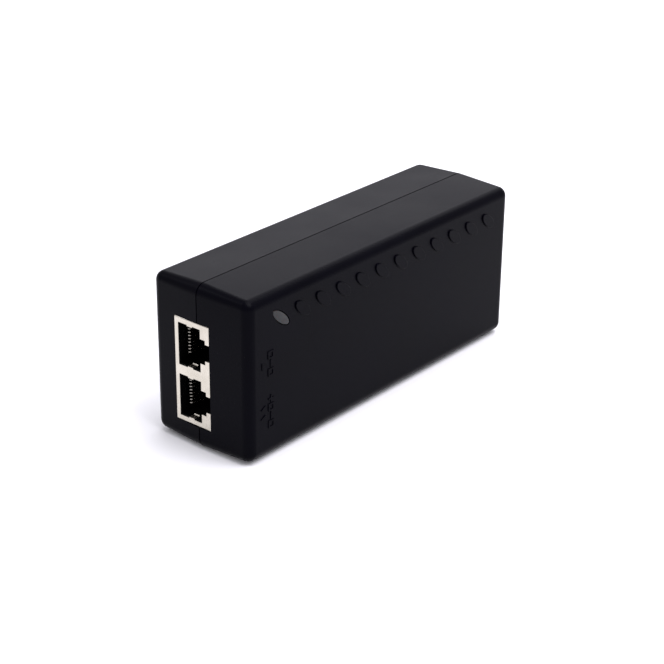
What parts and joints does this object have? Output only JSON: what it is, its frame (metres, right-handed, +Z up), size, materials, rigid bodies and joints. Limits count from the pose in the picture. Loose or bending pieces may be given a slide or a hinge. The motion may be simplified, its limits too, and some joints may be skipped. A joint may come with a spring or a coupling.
{
  "type": "power over ethernet injector",
  "caption": "Black two-part moulded injector: shielded two-port network jack on one end, mains inlet on the other, a row of raised tilted ovals with a lens at its head, and a full supply board inside.",
  "frame": {"origin": "under the middle of the case, on the plane that its long narrow side stands on", "axes": "+Z up; +Y along the 121 mm length towards the mains inlet, so -Y is the network jack end; +X across the 36 mm width towards the side with the row of raised ovals"},
  "size_m": [0.0364, 0.121, 0.05],
  "materials": {
    "case_plastic": "fine satin texture",
    "lens_plastic": "translucent grey",
    "label_film": "blank silver-grey label stock",
    "sheet_film": "insulating sheet",
    "board_laminate": "green solder mask",
    "screw_steel": "zinc plated",
    "shield_tin": "tin-plated sheet",
    "port_plastic": "black moulding",
    "contact_gold": "gold-flashed spring wire",
    "inlet_plastic": "black moulding",
    "blade_nickel": "nickel-plated brass",
    "can_sleeve": "dark shrink sleeve",
    "epoxy_black": "moulded epoxy",
    "ferrite": "sintered ferrite",
    "copper_wire": "enamelled copper",
    "tape_yellow": "polyester tape",
    "sink_aluminium": "mill finish",
    "disc_blue": "dipped coating",
    "disc_green": "dipped coating",
    "film_case": "filled case",
    "lamp_epoxy": "clear lamp",
    "chip_ceramic": "fired ceramic",
    "bobbin_plastic": "phenolic moulding"
  },
  "bodies": {
    "injector": {"base_shell": "case_plastic", "cover_shell": "case_plastic", "light_pipe": "lens_plastic", "rating_label": "label_film", "insulation_sheet": "sheet_film", "circuit_board": "board_laminate", "board_screws": "screw_steel", "jack_shield": "shield_tin", "jack_housing": "port_plastic", "data_in_carrier": "port_plastic", "power_out_carrier": "port_plastic", "data_in_terminals": "contact_gold", "power_out_terminals": "contact_gold", "inlet_housing": "inlet_plastic", "line_pin": "blade_nickel", "neutral_pin": "blade_nickel", "earth_pin": "blade_nickel", "status_led": "lamp_epoxy", "line_transformer_module": "epoxy_black", "port_controller": "epoxy_black", "supply_controller": "epoxy_black", "chip_resistors": "chip_ceramic", "chip_capacitors": "chip_ceramic", "output_capacitors": "can_sleeve", "output_inductor": "ferrite", "bulk_capacitor": "can_sleeve", "mains_fuse": "epoxy_black", "inrush_thermistor": "disc_green", "surge_varistor": "disc_blue", "safety_capacitor": "disc_blue", "power_transistor": "epoxy_black", "transistor_heatsink": "sink_aluminium", "output_rectifier": "epoxy_black", "rectifier_heatsink": "sink_aluminium", "heatsink_screws": "screw_steel", "bridge_rectifier": "epoxy_black", "mains_filter_capacitor": "film_case", "optocoupler": "epoxy_black", "transformer_core": "ferrite", "transformer_bobbin": "bobbin_plastic", "transformer_winding": "copper_wire", "transformer_tape": "tape_yellow", "choke_core": "ferrite", "choke_windings": "copper_wire"},
    "data_in_springs": {"data_in_contacts": "contact_gold"},
    "power_out_springs": {"power_out_contacts": "contact_gold"}
  },
  "joints": [
    {"name": "data_in_contacts_flex", "type": "hinge", "parent": "injector", "child": "data_in_springs", "pos_m": [-0.0069, -0.0566, 0.0306], "axis": [0, 0, 1], "range_deg": [0, 12], "stiffness_Nm_per_rad": 0.25},
    {"name": "power_out_contacts_flex", "type": "hinge", "parent": "injector", "child": "power_out_springs", "pos_m": [-0.0069, -0.0566, 0.01485], "axis": [0, 0, 1], "range_deg": [0, 12], "stiffness_Nm_per_rad": 0.25}
  ]
}
